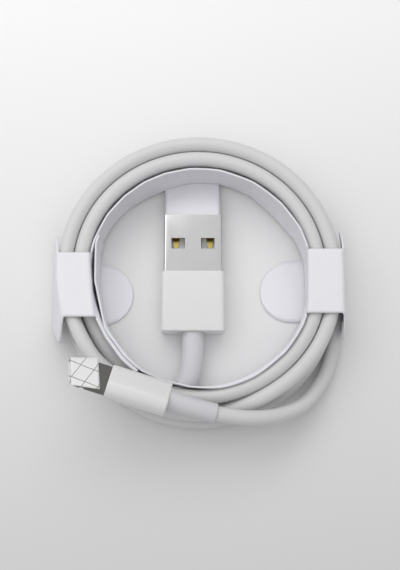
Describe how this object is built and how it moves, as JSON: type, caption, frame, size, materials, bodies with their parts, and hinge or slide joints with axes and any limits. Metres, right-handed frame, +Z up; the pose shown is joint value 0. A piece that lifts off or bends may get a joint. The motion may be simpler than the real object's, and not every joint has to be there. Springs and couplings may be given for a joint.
{
  "type": "charging cable",
  "caption": "Coiled white charging cable on a folded card retainer, with a type-A plug inside the coil and a slim reversible tip plug under a protective film on top.",
  "frame": {"origin": "on the table plane under the axis of the coil, on the underside of the type-A plug's housing", "axes": "+Z up along the coil's axis, +Y out of the type-A plug's mouth, +X to the right seen from above"},
  "size_m": [0.0602, 0.0589, 0.0188],
  "materials": {
    "white_plastic": "smooth moulded white",
    "soft_white": "smooth soft sleeve",
    "cable_jacket": "satin soft jacket",
    "card": "uncoated white card",
    "film": "thin white film",
    "steel": "bright plated sheet",
    "dark_steel": "satin plated",
    "gold": "gilt",
    "tin": "tinned sheet",
    "natural_plastic": "moulded off-white",
    "green_board": "lacquered board",
    "black_chip": "moulded black",
    "red_wire": "coloured insulation",
    "white_wire": "coloured insulation",
    "green_wire": "coloured insulation",
    "black_wire": "coloured insulation"
  },
  "bodies": {
    "cable": {"host_housing": "white_plastic", "host_shell": "steel", "host_tongue": "natural_plastic", "host_contact_1": "gold", "host_contact_2": "gold", "host_contact_3": "gold", "host_contact_4": "gold", "host_wire_carrier": "natural_plastic", "host_crimp_ferrule": "tin", "host_red_wire": "red_wire", "host_white_wire": "white_wire", "host_green_wire": "green_wire", "host_black_wire": "black_wire", "host_strain_relief": "soft_white", "tip_housing": "white_plastic", "tip_blade": "dark_steel", "tip_insulator": "natural_plastic", "tip_top_contact_1": "gold", "tip_top_contact_2": "gold", "tip_top_contact_3": "gold", "tip_top_contact_4": "gold", "tip_top_contact_5": "gold", "tip_top_contact_6": "gold", "tip_top_contact_7": "gold", "tip_top_contact_8": "gold", "tip_bottom_contact_1": "gold", "tip_bottom_contact_2": "gold", "tip_bottom_contact_3": "gold", "tip_bottom_contact_4": "gold", "tip_bottom_contact_5": "gold", "tip_bottom_contact_6": "gold", "tip_bottom_contact_7": "gold", "tip_bottom_contact_8": "gold", "tip_circuit_board": "green_board", "tip_control_chip": "black_chip", "tip_crimp_ferrule": "tin", "tip_red_wire": "red_wire", "tip_white_wire": "white_wire", "tip_green_wire": "green_wire", "tip_black_wire": "black_wire", "tip_strain_relief": "soft_white", "cable_host_lead": "cable_jacket", "cable_coil": "cable_jacket", "cable_device_lead": "cable_jacket", "card_ring": "card"},
    "left_flap": {"left_outer_flap": "card"},
    "left_tab": {"left_floor_tab": "card"},
    "right_flap": {"right_outer_flap": "card"},
    "right_tab": {"right_floor_tab": "card"},
    "film": {"tip_film": "film"}
  },
  "joints": [
    {"name": "left_flap_hinge", "type": "hinge", "parent": "cable", "child": "left_flap", "pos_m": [-0.0281, -0.00185, 0.01073], "axis": [0, 1, 0], "range_deg": [0, 110]},
    {"name": "left_tab_hinge", "type": "hinge", "parent": "left_flap", "child": "left_tab", "pos_m": [-0.03, -0.00185, 0.00017], "axis": [0, 1, 0], "range_deg": [0, 90]},
    {"name": "right_flap_hinge", "type": "hinge", "parent": "cable", "child": "right_flap", "pos_m": [0.0289, -0.0011, 0.01073], "axis": [0, -1, 0], "range_deg": [0, 110]},
    {"name": "right_tab_hinge", "type": "hinge", "parent": "right_flap", "child": "right_tab", "pos_m": [0.0299, -0.0011, 0.00017], "axis": [0, -1, 0], "range_deg": [0, 90]},
    {"name": "film_slide", "type": "slide", "parent": "cable", "child": "film", "axis": [-0.9506, 0.2924, 0.1045], "range_m": [0, 0.008]}
  ]
}
